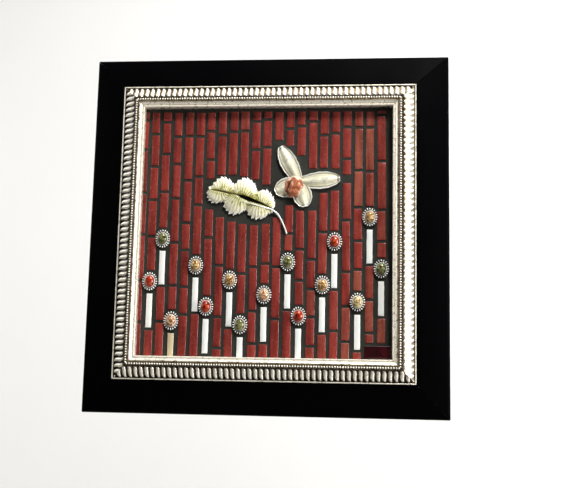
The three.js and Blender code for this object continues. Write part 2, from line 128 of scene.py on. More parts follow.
class FlowerSettings(bpy.types.PropertyGroup):
    beads: bpy.props.IntProperty(
        name="Beads", description="Beads round one flower's rim", default=20, min=8, max=40)
    bead_length: length_setting("Bead Length", "Length of a bead, outwards from the stone", 2.1)
    bead_width: length_setting("Bead Width", "Width of a bead, along the rim", 1.02)
    overhang: length_setting("Overhang", "How far the beads stand out over the glass", 0.4)
    stone_height: length_setting("Stone Height", "Height of a stone's dome", 4.4)


class FigureSettings(bpy.types.PropertyGroup):
    leaf_length: length_setting("Leaf Length", "Length of the leaf's blade", 66)
    leaf_width: length_setting("Leaf Width", "Width of the leaf's blade", 38)
    lobes: bpy.props.IntProperty(
        name="Lobes", description="Lobes on each side of the leaf", default=3, min=1, max=6)
    teeth: bpy.props.IntProperty(
        name="Teeth", description="Teeth along each edge of the leaf", default=18, min=4, max=60)
    ivory: colour_setting("Ivory", "Enamel of the leaf and the petals", (0.83, 0.79, 0.6))
    olive: colour_setting("Olive", "Shade in the leaf's hollows", (0.33, 0.3, 0.09))
    coral: colour_setting("Coral", "Enamel of the blossom's lip", (0.4, 0.12, 0.055))


class StageSettings(bpy.types.PropertyGroup):
    lens: bpy.props.FloatProperty(
        name="Lens", description="Focal length on a 36 mm sensor, in millimetres", default=60)
    wall: colour_setting("Wall", "Colour of the floor and the backdrop", (0.75, 0.747, 0.738))
    key_power: bpy.props.FloatProperty(
        name="Key Power", description="Power of the lamp above, to the right", default=45, unit="POWER")
    sky: bpy.props.FloatProperty(
        name="Sky", description="Strength of the even light from all round", default=0.07)


def settings(name):
    return getattr(bpy.context.scene, name)


def clamped(value):
    return max(0, min(1, value))


def shaped(value, power):
    """A power of a value that keeps its sign"""
    return math.copysign(abs(value) ** power, value)


def wave(value):
    """From 0 to 1 and back, once for each whole step"""
    return 0.5 - 0.5 * math.cos(2 * math.pi * value)


def ridge(distance, width):
    """1 on a line, falling to nothing on both its sides"""
    return math.exp(-(distance / width) ** 2)


# Small helpers for objects, as by hand in object and edit mode
def pick(*objects):
    bpy.ops.object.select_all(action="DESELECT")
    for obj in objects:
        obj.select_set(True)
    bpy.context.view_layer.objects.active = objects[0]


def named(name):
    obj = bpy.context.object
    obj.name = name
    obj.data.name = name
    return obj


def sheet(name, columns, rows):
    """A flat grid from -1 to 1 along X and Y"""
    bpy.ops.mesh.primitive_grid_add(x_subdivisions=columns, y_subdivisions=rows, size=2)
    return named(name)


def ball(name, segments, rings, radius=1):
    bpy.ops.mesh.primitive_uv_sphere_add(segments=segments, ring_count=rings, radius=radius)
    return named(name)


def drum(name, sides, radius=1, depth=2):
    bpy.ops.mesh.primitive_cylinder_add(vertices=sides, radius=radius, depth=depth)
    return named(name)


def in_edit_mode(obj, *steps):
    pick(obj)
    bpy.ops.object.mode_set(mode="EDIT")
    bpy.ops.mesh.select_all(action="SELECT")
    for step in steps:
        step()
    bpy.ops.object.mode_set(mode="OBJECT")


def cut(obj, place, normal, outer=True):
    """Cuts a piece on a plane, and takes off its outer or its inner side"""
    in_edit_mode(obj, lambda: bpy.ops.mesh.bisect(
        plane_co=place, plane_no=normal, use_fill=True, clear_outer=outer, clear_inner=not outer))


def outward(obj):
    """Turns all faces outwards"""
    in_edit_mode(obj, lambda: bpy.ops.mesh.normals_make_consistent(inside=False))


def copied(obj, name):
    twin = obj.copy()
    twin.data = obj.data.copy()
    twin.name = name
    twin.data.name = name
    bpy.context.collection.objects.link(twin)
    return twin


def joined(objects, name):
    pick(*objects)
    bpy.ops.object.join()
    return named(name)


def applied(obj, kind, **values):
    pick(obj)
    modifier = obj.modifiers.new(kind.title(), kind)
    for key, value in values.items():
        setattr(modifier, key, value)
    bpy.ops.object.modifier_apply(modifier=modifier.name)


def bevelled(obj, width, segments, degrees):
    """Rounds the edges that turn by more than an angle"""
    applied(obj, "BEVEL", width=width, segments=segments, limit_method="ANGLE",
            angle_limit=math.radians(degrees))


def moved(obj, matrix):
    obj.data.transform(matrix)
    return obj


def smooth(obj, degrees=40):
    pick(obj)
    bpy.ops.object.shade_smooth_by_angle(angle=math.radians(degrees))


def mark(obj, name, values):
    """Keeps a number at each vertex, or one number at all of them"""
    if isinstance(values, (int, float)):
        values = [values] * len(obj.data.vertices)
    layer = obj.data.attributes.get(name) or obj.data.attributes.new(name, "FLOAT", "POINT")
    layer.data.foreach_set("value", values)


def dressed(obj, material, *nodes, slot=None):
    """Gives a finished piece its material, its place on the body and the nodes it stands for"""
    obj.data.materials.clear()
    obj.data.materials.append(material)
    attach(obj, "root")
    if nodes:
        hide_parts(*nodes)


def about_middle(turn):
    """A turn in the plane of the picture, about its middle"""
    return Matrix.Translation(MIDDLE) @ Matrix.Rotation(turn, 4, "Y") @ Matrix.Translation(-MIDDLE)


def closed_to_back(obj, back):
    """Gives a modelled front its edges and a flat back at a depth"""
    def pushed():
        bpy.ops.mesh.extrude_region_move()
        bpy.ops.transform.resize(value=(1, 0, 1), center_override=(0, back, 0))

    in_edit_mode(obj, pushed)
    outward(obj)


# Node materials
class Finish:
    """A procedural material, built up socket by socket"""

    def __init__(self, name):
        self.material = bpy.data.materials.new(name)
        self.material.use_nodes = True
        self.nodes = self.material.node_tree.nodes
        self.links = self.material.node_tree.links
        self.shader = self.nodes["Principled BSDF"]
        self.place = self.nodes.new("ShaderNodeTexCoord").outputs["Object"]

    def node(self, kind, **inputs):
        node = self.nodes.new(f"ShaderNode{kind}")
        for name, value in inputs.items():
            self.feed(node.inputs[name], value)
        return node

    def feed(self, socket, value):
        """Links an input to an output, or sets it to a number, a vector or a colour"""
        if isinstance(value, bpy.types.NodeSocket):
            self.links.new(value, socket)
        elif socket.type == "RGBA" and len(value) == 3:
            socket.default_value = (*value, 1)
        else:
            socket.default_value = value

    def set(self, **values):
        for name, value in values.items():
            self.feed(self.shader.inputs[name.replace("_", " ")], value)
        return self.material

    def stretched(self, scale):
        return self.node("Mapping", Vector=self.place, Scale=scale).outputs["Vector"]

    def noise(self, scale, detail=3, roughness=0.55, place=None, distortion=0):
        return self.node(
            "TexNoise", Vector=place or self.place, Scale=scale, Detail=detail,
            Roughness=roughness, Distortion=distortion).outputs["Fac"]

    def cells(self, scale):
        return self.node("TexVoronoi", Vector=self.place, Scale=scale).outputs["Distance"]

    def attribute(self, name):
        node = self.node("Attribute")
        node.attribute_name = name
        return node.outputs["Fac"]

    def ramp(self, value, *stops):
        node = self.node("ValToRGB", Fac=value)
        marks = node.color_ramp.elements
        while len(marks) < len(stops):
            marks.new(0.5)
        for one, (position, colour) in zip(marks, stops):
            one.position = position
            one.color = (*colour, 1) if hasattr(colour, "__len__") else (colour,) * 3 + (1,)
        return node.outputs["Color"]

    def mix(self, share, first, second, blend="MIX"):
        node = self.node("Mix")
        node.data_type = "RGBA"
        node.blend_type = blend
        for index, value in ((0, share), (6, first), (7, second)):
            self.feed(node.inputs[index], value)
        return node.outputs[2]

    def math(self, kind, first, second):
        node = self.node("Math")
        node.operation = kind
        self.feed(node.inputs[0], first)
        self.feed(node.inputs[1], second)
        return node.outputs[0]

    def varied(self, value, pattern, spread):
        """A value that strays up and down with a pattern"""
        stray = self.math("MULTIPLY", self.math("SUBTRACT", pattern, 0.5), spread)
        return self.math("ADD", value, stray)

    def bump(self, height, strength, distance=0.2 * MM, under=None):
        node = self.node("Bump", Height=height, Strength=strength, Distance=distance)
        if under:
            self.feed(node.inputs["Normal"], under)
        return node.outputs["Normal"]


def scaled(colour, factor):
    return tuple(min(1, channel * factor) for channel in colour)


def black_lacquer():
    look = Finish("black_lacquer")
    colour = settings("mosaic_frame").lacquer
    dust = look.ramp(look.noise(900, 2), (0.66, colour), (0.8, scaled(colour, 4)))
    smears = look.noise(24, 4)
    grain = look.noise(160, 3, place=look.stretched((1, 1, 6)))
    return look.set(
        Base_Color=dust, Roughness=look.ramp(smears, (0.35, 0.4), (0.7, 0.52)),
        Specular_IOR_Level=0.008, Normal=look.bump(grain, 0.06))


def silver_leaf():
    """Bright leaf on what stands proud, with dark wax and painted shade in the hollows"""
    look = Finish("silver_leaf")
    silver = settings("mosaic_frame").silver
    wear_and_shading = look.attribute("wear_and_shading")
    blotches = look.noise(260, 4)
    patchy = look.varied(wear_and_shading, blotches, 0.55)
    tint = look.mix(look.noise(45, 3), silver, (0.86, 0.79, 0.64))
    worn_and_lit = look.mix(look.ramp(patchy, (0.42, 0.0), (0.72, 1.0)), (0.5, 0.36, 0.17), tint)
    wax_and_shade = look.mix(look.noise(300, 2), (0.012, 0.009, 0.007), (0.07, 0.05, 0.032))
    share = look.ramp(patchy, (0.26, 0.0), (0.58, 1.0))
    return look.set(
        Base_Color=look.mix(share, wax_and_shade, worn_and_lit),
        Metallic=look.ramp(patchy, (0.22, 0.1), (0.55, 0.78), (0.78, 0.65), (0.98, 0.2)),
        Roughness=look.ramp(blotches, (0.3, 0.22), (0.75, 0.42)),
        Normal=look.bump(look.noise(700, 3), 0.12))


def raw_board():
    look = Finish("fibreboard")
    fibres = look.noise(900, 4, 0.6, look.stretched((1, 1, 0.5)))
    stains = look.ramp(look.noise(14, 4), (0.3, (0.8, 0.78, 0.75)), (0.7, (1, 1, 1)))
    brown = look.ramp(fibres, (0.3, (0.2, 0.125, 0.068)), (0.75, (0.31, 0.21, 0.122)))
    return look.set(
        Base_Color=look.mix(1.0, brown, stains, "MULTIPLY"), Roughness=0.85,
        Normal=look.bump(fibres, 0.12))


def grout_finish():
    look = Finish("dark_grout")
    grout = settings("mosaic_look").grout
    sand = look.noise(1500, 3, 0.7)
    stain = look.noise(60, 4)
    share = look.ramp(stain, (0.35, 0.0), (0.7, 1.0))
    colour = look.mix(share, scaled(grout, 0.75), scaled(grout, 1.5))
    speck = look.ramp(sand, (0.62, 0.0), (0.78, 1.0))
    return look.set(
        Base_Color=look.mix(speck, colour, scaled(grout, 2.6)), Roughness=0.88,
        Normal=look.bump(sand, 0.55, 0.35 * MM, look.bump(look.noise(420, 3), 0.35, 0.4 * MM)))


def red_glass():
    """Opaque glass: each strip has its own shade, with drawn-out streaks along it, and painted shade
    along its edges
    """
    look = Finish("red_glass")
    red = settings("mosaic_look").red
    shade = look.attribute("shade")
    streaks = look.noise(210, 4, 0.6, look.stretched((1, 1, 0.12)), 0.3)
    base = look.ramp(
        shade, (0.0, scaled(red, 0.62)), (0.35, scaled(red, 0.9)), (0.7, scaled(red, 1.05)),
        (1.0, (0.3, 0.075, 0.048)))
    darker = look.mix(1.0, base, (0.5, 0.42, 0.42), "MULTIPLY")
    body = look.mix(look.ramp(streaks, (0.3, 1.0), (0.62, 0.0)), base, darker)
    film = look.ramp(look.noise(500, 3, 0.6), (0.6, 0.0), (0.85, 0.35))
    # Painted shade: darker toward each strip's edges
    rim = look.attribute("rim")
    dark_rimmed = look.mix(look.math("MULTIPLY", rim, 0.55), look.mix(film, body, (0.36, 0.13, 0.11)),
                     scaled(red, 0.28))
    return look.set(
        Base_Color=dark_rimmed, Roughness=look.ramp(look.noise(130, 4), (0.3, 0.16), (0.7, 0.34)),
        Specular_IOR_Level=0.5, Normal=look.bump(streaks, 0.12, 0.3 * MM))


def dark_glass():
    look = Finish("dark_red_glass")
    swirl = look.noise(70, 4, 0.6, None, 1.2)
    return look.set(
        Base_Color=look.ramp(swirl, (0.35, (0.003, 0.001, 0.0015)), (0.72, (0.06, 0.0025, 0.005))),
        Roughness=0.08, Specular_IOR_Level=0.5, Coat_Weight=0.3, Coat_Roughness=0.05,
        Normal=look.bump(swirl, 0.1))


def pearl_glass():
    look = Finish("pearl_glass")
    pearl = settings("mosaic_look").pearl
    veins = look.noise(160, 4, 0.6, look.stretched((1, 1, 0.2)), 0.6)
    shade = look.attribute("shade")
    cool = look.mix(look.ramp(veins, (0.35, 0.0), (0.7, 1.0)), pearl, (0.82, 0.86, 0.86))
    rim = look.attribute("rim")
    toned = look.mix(look.ramp(shade, (0.9, 0.0), (1.0, 1.0)), cool, (0.62, 0.5, 0.32))
    return look.set(
        # Painted shade: darker along each stem's edges
        Base_Color=look.mix(look.math("MULTIPLY", rim, 0.4), toned, (0.36, 0.34, 0.28)),
        Roughness=0.16, Specular_IOR_Level=0.6, Coat_Weight=0.4, Coat_Roughness=0.05,
        Normal=look.bump(veins, 0.08))


def silver_plate():
    look = Finish("silver_plate")
    # Dark where the mark is low: painted shade on the plate behind the beads, on the beads' sides and
    # on the bezel's back
    wear_and_shading = look.attribute("wear_and_shading")
    tarnish = look.noise(600, 3)
    share = look.varied(wear_and_shading, tarnish, 0.5)
    return look.set(
        Base_Color=look.ramp(share, (0.2, (0.012, 0.011, 0.01)), (0.55, (0.96, 0.95, 0.92))),
        Metallic=look.ramp(share, (0.2, 0.1), (0.5, 0.12)),
        Roughness=look.ramp(tarnish, (0.3, 0.2), (0.75, 0.38)))


STONE_COLOURS = {
    "stone_red": ((0.06, 0.003, 0.001), (0.34, 0.018, 0.004), (0.5, 0.075, 0.02)),
    "stone_green": ((0.016, 0.014, 0.003), (0.075, 0.095, 0.026), (0.27, 0.25, 0.1)),
    "stone_amber": ((0.08, 0.03, 0.006), (0.36, 0.18, 0.05), (0.68, 0.52, 0.25)),
    "stone_peach": ((0.14, 0.05, 0.014), (0.5, 0.25, 0.12), (0.8, 0.65, 0.45)),
    "stone_cream": ((0.16, 0.1, 0.025), (0.52, 0.38, 0.15), (0.82, 0.76, 0.5)),
}


def stone_finish(slot):
    """Polished stone with clouds of three shades and dark flecks"""
    look = Finish(slot)
    deep, body, pale = STONE_COLOURS[slot]
    clouds = look.noise(330, 5, 0.62, None, 1.4)
    flecks = look.ramp(look.noise(760, 3, 0.6), (0.38, 1.0), (0.46, 0.0))
    mottled = look.ramp(clouds, (0.4, deep), (0.49, body), (0.6, pale))
    return look.set(
        Base_Color=look.mix(flecks, mottled, deep), Roughness=0.14, Specular_IOR_Level=0.45,
        Coat_Weight=0.25, Coat_Roughness=0.04)


def leaf_enamel():
    """Ivory enamel that is olive in the hollows, as pooled enamel and painted shade, with the metal
    bare on edges and ribs
    """
    look = Finish("leaf_enamel")
    figure = settings("mosaic_figures")
    height = look.attribute("wear_and_shading")
    rim = look.attribute("rim")
    cloud = look.noise(190, 4)
    uneven = look.varied(height, cloud, 1.1)
    enamel = look.ramp(uneven, (0.06, scaled(figure.olive, 0.55)), (0.24, figure.olive),
                       (0.42, (0.7, 0.69, 0.4)), (0.64, figure.ivory))
    return look.set(
        Base_Color=look.mix(rim, enamel, (0.94, 0.93, 0.88)),
        Metallic=look.math("MULTIPLY", rim, 0.2),
        Roughness=look.ramp(cloud, (0.3, 0.16), (0.7, 0.3)),
        Coat_Weight=0.35, Coat_Roughness=0.08, Normal=look.bump(look.noise(520, 3), 0.12))


def petal_enamel():
    look = Finish("petal_enamel")
    figure = settings("mosaic_figures")
    height = look.attribute("wear_and_shading")
    rim = look.attribute("rim")
    cloud = look.noise(150, 5, 0.65, None, 0.8)
    # Dark where the mark is low: painted shade at the petals' bases, in their dishes and veins, and
    # inside their rims
    hollow = look.ramp(
        height, (0.0, (0.16, 0.14, 0.09)), (0.35, (0.45, 0.42, 0.29)), (0.7, figure.ivory))
    tinted = look.mix(look.ramp(cloud, (0.48, 0.0), (0.62, 0.75)), hollow, (0.46, 0.47, 0.4))
    return look.set(
        Base_Color=look.mix(rim, tinted, (0.96, 0.95, 0.92)), Metallic=look.math("MULTIPLY", rim, 0.2),
        Roughness=look.ramp(cloud, (0.3, 0.14), (0.7, 0.28)), Coat_Weight=0.4, Coat_Roughness=0.06,
        Normal=look.bump(look.noise(420, 3), 0.08))


def coral_enamel():
    look = Finish("coral_enamel")
    coral = settings("mosaic_figures").coral
    cloud = look.noise(150, 4, 0.6, None, 0.9)
    height = look.attribute("wear_and_shading")
    # Painted highlight: cream toward the lip's outer edge; painted shade: dark in the fold
    warm = look.ramp(cloud, (0.34, scaled(coral, 0.35)), (0.5, coral), (0.68, (0.72, 0.42, 0.26)))
    cream_highlight = look.ramp(look.math("MULTIPLY", height, look.noise(60, 2)), (0.44, 0.0), (0.54, 0.85))
    crease_shade = look.ramp(look.attribute("crease_shade"), (0.2, 0.0), (0.8, 0.9))
    return look.set(
        Base_Color=look.mix(crease_shade, look.mix(cream_highlight, warm, (0.8, 0.68, 0.5)), scaled(coral, 0.08)),
        Roughness=0.2, Coat_Weight=0.3, Coat_Roughness=0.05)


def zinc_steel():
    look = Finish("zinc_steel")
    spangle = look.cells(700)
    return look.set(
        Base_Color=look.ramp(spangle, (0.1, (0.2, 0.2, 0.195)), (0.6, (0.4, 0.4, 0.39))),
        Metallic=1.0, Roughness=look.ramp(look.noise(300, 3), (0.3, 0.3), (0.7, 0.5)))


def blued_steel():
    look = Finish("blued_steel")
    scuffs = look.noise(900, 3)
    return look.set(
        Base_Color=look.ramp(scuffs, (0.4, (0.03, 0.034, 0.045)), (0.75, (0.16, 0.16, 0.17))),
        Metallic=0.8, Roughness=look.ramp(scuffs, (0.3, 0.3), (0.7, 0.48)))


def finished_copy(node, name, width, material):
    """A node's own shape, with its faces merged and its arrises rounded"""
    piece = copied(bpy.data.objects[node], name)
    in_edit_mode(
        piece,
        lambda: bpy.ops.mesh.remove_doubles(threshold=WELD),
        lambda: bpy.ops.mesh.dissolve_limited(angle_limit=math.radians(0.5)))
    bevelled(piece, width, 3, 12)
    smooth(piece)
    dressed(piece, material, node)


class MOSAIC_OT_rails(bpy.types.Operator):
    """Lacquers the four black rails and rounds their arrises"""
    bl_idname = "mosaic.rails"
    bl_label = "Black Rails"

    def execute(self, context):
        material = black_lacquer()
        rounding = settings("mosaic_frame").rail_round
        for side in SIDES:
            finished_copy(f"rail_{side}", f"black_rail_{side}", rounding, material)
        return {"FINISHED"}


# The liner's profile: distance from the sight edge and height above the seat in millimetres,
# and how bright the leaf is there, dark in the grooves and hollows as wax and painted shade
LINER_PROFILE = (
    (0, 0, 0.6), (22.7, 0, 0.3), (22.7, 2.5, 0.5), (22.45, 3.0, 0.9), (21.95, 3.2, 1.0),
    (21.45, 3.0, 0.8), (21.2, 2.5, 0.2), (21.2, 1.2, 0.1), (20.4, 1.2, 0.1),
    (14.4, 5.2, 0.1), (10.4, 7.9, 0.0),
    (9.6, 7.9, 0.0), (9.6, 10.2, 0.0), (9.4, 10.75, 0.3), (9.0, 10.75, 0.25), (8.8, 10.2, 0.0),
    (8.6, 9.9, 0.0), (6.7, 9.9, 0.0), (6.5, 10.3, 0.1), (6.2, 10.85, 0.45), (5.7, 10.85, 0.4),
    (5.5, 10.4, 0.05), (5.2, 10.4, 0.05), (4.95, 10.5, 0.6), (4.3, 10.25, 0.75), (3.3, 9.2, 0.88),
    (2.5, 8.3, 0.93), (2.2, 7.85, 0.75), (1.95, 7.95, 0.95), (1.5, 8.4, 1.0), (0.95, 8.5, 1.0),
    (0.4, 8.25, 1.0), (0.08, 7.7, 1.0), (0, 7.0, 0.9), (0, 3.0, 0.7),
)
# The band of ribs: distance from the sight edge and height above the seat, at its foot and head
BAND_FOOT = (20.9 * MM, 1.4 * MM)
BAND_HEAD = (9.9 * MM, 8.2 * MM)
RIB_RISE = 2.3 * MM
# Half a rib's width as a share of the pitch, and how far its sides swing as a share of the slant
RIB_HALF = 0.4
RIB_SWING = 0.27
BEAD_LINE = (7.65 * MM, 10.05 * MM)
BEAD_RADIUS = 1.06 * MM
MITRE_GAP = JOINT * math.sqrt(0.5)
SIGHT_TOP = MIDDLE.z + SIGHT
# Painted light on each band of ribs: the top and right bands, which face the lamps, are painted
# brighter
BAND_PAINTED_LIGHT = {"top": 0.35, "right": 0.8, "bottom": 0.0, "left": 0.0}


def liner_body():
    """The plain moulding under the ribs and beads, drawn as one section and pulled along"""
    bpy.ops.mesh.primitive_circle_add(vertices=len(LINER_PROFILE), radius=1, fill_type="NGON")
    body = named("liner_body")
    bright = {}
    for vertex, (out, height, wear_and_shading) in zip(body.data.vertices, LINER_PROFILE):
        vertex.co = (-1, LINER_SEAT - height * MM, SIGHT_TOP + out * MM)
        bright[(round(out, 2), round(height, 2))] = wear_and_shading
    in_edit_mode(body, lambda: bpy.ops.mesh.extrude_region_move(
        TRANSFORM_OT_translate={"value": (2, 0, 0)}))
    wear_and_shading_values = []
    for vertex in body.data.vertices:
        out = vertex.co.z - MIDDLE.z
        vertex.co.x = math.copysign(out - MITRE_GAP, vertex.co.x)
        key = (round((out - SIGHT) / MM, 2), round((LINER_SEAT - vertex.co.y) / MM, 2))
        wear_and_shading_values.append(bright.get(key, 0.5))
    mark(body, "wear_and_shading", wear_and_shading_values)
    outward(body)
    return body


def one_rib():
    """A fat leaning rib: its foot is slim and its head full, and its sides swing in a slow curve"""
    frame_settings = settings("mosaic_frame")
    rib = ball("rib", 12, 9)
    cut(rib, (0, -0.5, 0), (0, 1, 0), outer=False)
    wear_and_shading_values = []
    for vertex in rib.data.vertices:
        side, rise, along = vertex.co
        share = (shaped(along, 0.6) + 1) / 2
        half = frame_settings.rib_pitch * RIB_HALF * (0.8 + 0.2 * share)
        lean = frame_settings.rib_slant * (share - 0.5 + RIB_SWING * math.sin(2 * math.pi * share))
        out, foot = (start + (end - start) * share for start, end in zip(BAND_FOOT, BAND_HEAD))
        height = foot + shaped(rise, 0.8) * RIB_RISE * (1 if rise > 0 else 0.5)
        # Painted shade: the rib's low flanks are dark, as wax and shade, and its crest is bright
        wear_and_shading_values.append(clamped(1.7 * rise - 0.28 + 0.2 * (1 - share)))
        vertex.co = (lean + shaped(side, 0.85) * half, LINER_SEAT - height, SIGHT_TOP + out)
    mark(rib, "wear_and_shading", wear_and_shading_values)
    return rib


def one_bead():
    bead = ball("bead", 10, 7)
    cut(bead, (0, -0.4, 0), (0, 1, 0), outer=False)
    wear_and_shading_values = []
    for vertex in bead.data.vertices:
        side, rise, along = vertex.co
        # Painted shade: dark at the bead's foot, bright on its top
        wear_and_shading_values.append(clamped(0.05 + 1.4 * rise))
        depth = LINER_SEAT - BEAD_LINE[1] - rise * BEAD_RADIUS
        vertex.co = (side * BEAD_RADIUS, depth, SIGHT_TOP + BEAD_LINE[0] + along * BEAD_RADIUS)
    mark(bead, "wear_and_shading", wear_and_shading_values)
    return bead


def in_a_row(piece, pitch, reach):
    """Repeats a piece along X, and cuts the row off at the two mitres"""
    count = 2 * math.ceil(reach / pitch) + 1
    moved(piece, Matrix.Translation((-pitch * (count - 1) / 2, 0, 0)))
    applied(piece, "ARRAY", count=count, use_relative_offset=False, use_constant_offset=True,
            constant_offset_displace=(pitch, 0, 0))
    for side in (-1, 1):
        cut(piece, (-side * MITRE_GAP, 0, MIDDLE.z), (side, 0, -1))
    outward(piece)
    return piece


def painted_side_light(piece, amount):
    """Paints light on the band of ribs, more on the bands that face the lamps, while the piece still
    lies at the top
    """
    wear_and_shading = piece.data.attributes["wear_and_shading"].data
    for vertex in piece.data.vertices:
        out = vertex.co.z - SIGHT_TOP
        if BAND_HEAD[0] < out < BAND_FOOT[0]:
            worn_and_lit = amount * min(1, (out - BAND_HEAD[0]) / (3 * MM))
            wear_and_shading[vertex.index].value = max(wear_and_shading[vertex.index].value, worn_and_lit)


class MOSAIC_OT_liner(bpy.types.Operator):
    """Models the silver liner's ribs, beads and lip, one side first, and turns it to the others"""
    bl_idname = "mosaic.liner"
    bl_label = "Silver Liner"

    def execute(self, context):
        frame_settings = settings("mosaic_frame")
        ribs = in_a_row(one_rib(), frame_settings.rib_pitch, LINER_OUT)
        beads = in_a_row(one_bead(), frame_settings.bead_pitch, SIGHT + BEAD_LINE[0])
        liner = joined([liner_body(), ribs, beads], "silver_liner_top")
        smooth(liner, 35)
        material = silver_leaf()
        pieces = [liner] + [copied(liner, f"silver_liner_{side}") for side in SIDES[1:]]
        for turn, (side, piece) in enumerate(zip(SIDES, pieces)):
            # Painted light: the bands that face the lamps are painted brighter
            painted_side_light(piece, BAND_PAINTED_LIGHT[side])
            moved(piece, about_middle(turn * math.pi / 2))
            dressed(piece, material, f"liner_{side}")
        return {"FINISHED"}


# Faces across and along each kind of slab
STRIP_GRID = (6, 14)
STEM_GRID = (6, 16)
PLAQUE_GRID = (16, 12)
# Sizes of the noise that bends a slab's edges and that dishes its face
STRAY_SIZE = 5 * MM
DISH_SIZE = 9 * MM


def slab_template(columns, rows):
    """A closed slab of unit size that faces the viewer, with rows of faces along and across it"""
    slab = moved(sheet("slab", columns, rows), FACING)
    closed_to_back(slab, 1)
    return slab


def face_corners(low, high):
    """The corners of an upright box, seen from the front: low ones first, from the left"""
    return [Vector((x, 0, z)) for z in (low.z, high.z) for x in (low.x, high.x)]


def spaced(share, count, length, edge):
    """Where a row of points falls along a side: two rows near each end round its edge"""
    step = round((share + 1) / 2 * count)
    turned = step > count / 2
    near = count - step if turned else step
    if near == 0:
        place = 0
    elif near == 1:
        place = edge * 0.3
    elif near == 2:
        place = edge
    else:
        place = edge + (length - 2 * edge) * (near - 2) / (count - 4)
    return (length - place if turned else place) / length, near


def lay_slab(template, name, corners, front, back, grid, edge, wobble, seed):
    """Sets a slab between four corners, low-left, low-right, high-left and high-right"""
    columns, rows = grid
    low_left, low_right, high_left, high_right = corners
    width = (low_right - low_left).length
    length = (high_left - low_left).length
    slab = copied(template, name)
    rims = []
    for vertex in slab.data.vertices:
        across, near_x = spaced(vertex.co.x, columns, width, edge)
        along, near_z = spaced(vertex.co.z, rows, length, edge)
        near = min(near_x, near_z)
        low = low_left.lerp(low_right, across)
        high = high_left.lerp(high_right, across)
        spot = low.lerp(high, along)
        key = Vector((spot.x, seed, spot.z)) / STRAY_SIZE
        stray = Vector((noise.noise(key), 0, noise.noise(key + Vector((7, 3, 5)))))
        spot += stray * wobble * (1.0 if near < 3 else 0.4)
        dish = noise.noise(Vector((spot.x, seed, spot.z)) / DISH_SIZE) * wobble * 0.5
        at_back = vertex.co.y > 0.5
        drop = (edge, edge * 0.3, 0)[min(near, 2)]
        spot.y = back if at_back else front + drop + (dish if near > 1 else 0)
        vertex.co = spot
        rims.append(1.0 if at_back or near == 0 else (0.5 if near == 1 else 0.0))
    mark(slab, "rim", rims)
    return slab


def strip_corners():
    """The corners of each strip's front face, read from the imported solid"""
    solid = bmesh.new()
    solid.from_mesh(bpy.data.objects["mosaic_field"].data)
    bmesh.ops.remove_doubles(solid, verts=solid.verts, dist=WELD)
    near = 0.05 * MM
    front = {face for face in solid.faces if all(abs(v.co.y - STRIP_FRONT) < near for v in face.verts)}
    strips = []
    while front:
        island, border = set(), [front.pop()]
        while border:
            face = border.pop()
            island.update(vertex.co.copy().freeze() for vertex in face.verts)
            for edge in face.edges:
                for other in edge.link_faces:
                    if other in front:
                        front.discard(other)
                        border.append(other)
        points = [Vector(point) for point in island]
        strips.append([
            max(points, key=lambda point: side * point.x + end * point.z)
            for end in (-1, 1) for side in (-1, 1)])
    solid.free()
    return sorted(strips, key=lambda corners: (round(corners[0].x, 5), corners[0].z))


# Faces along each side of the grout bed, and the sizes of its swells and its grain
GROUT_GRID = 216
GROUT_SWELL = 14 * MM
GROUT_GRAIN = 2.6 * MM


class MOSAIC_OT_grout(bpy.types.Operator):
    """Spreads the uneven dark grout that the strips are set in"""
    bl_idname = "mosaic.grout"
    bl_label = "Grout"

    def execute(self, context):
        relief = settings("mosaic_look").grout_relief
        half = FIELD_HIGH.x
        bed = moved(sheet("grout_bed", GROUT_GRID, GROUT_GRID), FACING)
        for vertex in bed.data.vertices:
            spot = Vector((vertex.co.x * half, GROUT_FRONT, MIDDLE.z + vertex.co.z * half))
            swell = noise.noise(spot / GROUT_SWELL) + 0.7 * noise.noise(spot / GROUT_GRAIN)
            spot.y += relief * (0.35 * swell - 0.1)
            vertex.co = spot
        closed_to_back(bed, FIELD_BACK)
        smooth(bed, 60)
        dressed(bed, grout_finish(), slot=SLOTS["mosaic_field"])
        return {"FINISHED"}


SHADE_SEED = 4


class MOSAIC_OT_strips(bpy.types.Operator):
    """Lays the red glass strips, each hand cut with a shade of its own"""
    bl_idname = "mosaic.strips"
    bl_label = "Red Glass Strips"

    def execute(self, context):
        look = settings("mosaic_look")
        template = slab_template(*STRIP_GRID)
        rng = random.Random(SHADE_SEED)
        slabs = []
        for index, corners in enumerate(strip_corners()):
            highest = SIGHT_TOP - TOP_GROUT + rng.uniform(-0.6, 0.6) * MM
            for corner in corners[2:]:
                corner.z = min(corner.z, highest)
            edge = min(look.edge_round, (corners[1] - corners[0]).length * 0.3)
            front = STRIP_FRONT + rng.uniform(0, 0.25) * MM
            slab = lay_slab(template, f"strip_{index}", corners, front, GROUT_FRONT + MM,
                            STRIP_GRID, edge, look.wobble, index)
            across = corners[0].x / SIGHT
            # Painted reflection: the strips are browner toward the right; those at the left edge are
            # darker
            painted_reflection = 0.5 * max(0, across) ** 1.5
            dimmer = 0.35 if across < -0.97 else 0
            mark(slab, "shade", clamped(rng.gauss(0.5, 0.13) + painted_reflection - dimmer))
            slabs.append(slab)
        bpy.data.objects.remove(template)
        strips = joined(slabs, "red_glass_strips")
        smooth(strips, 50)
        dressed(strips, red_glass(), "mosaic_field")
        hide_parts("mosaic_field")
        return {"FINISHED"}


# The flower whose stem is of warmer glass
WARM_STEM = "03"


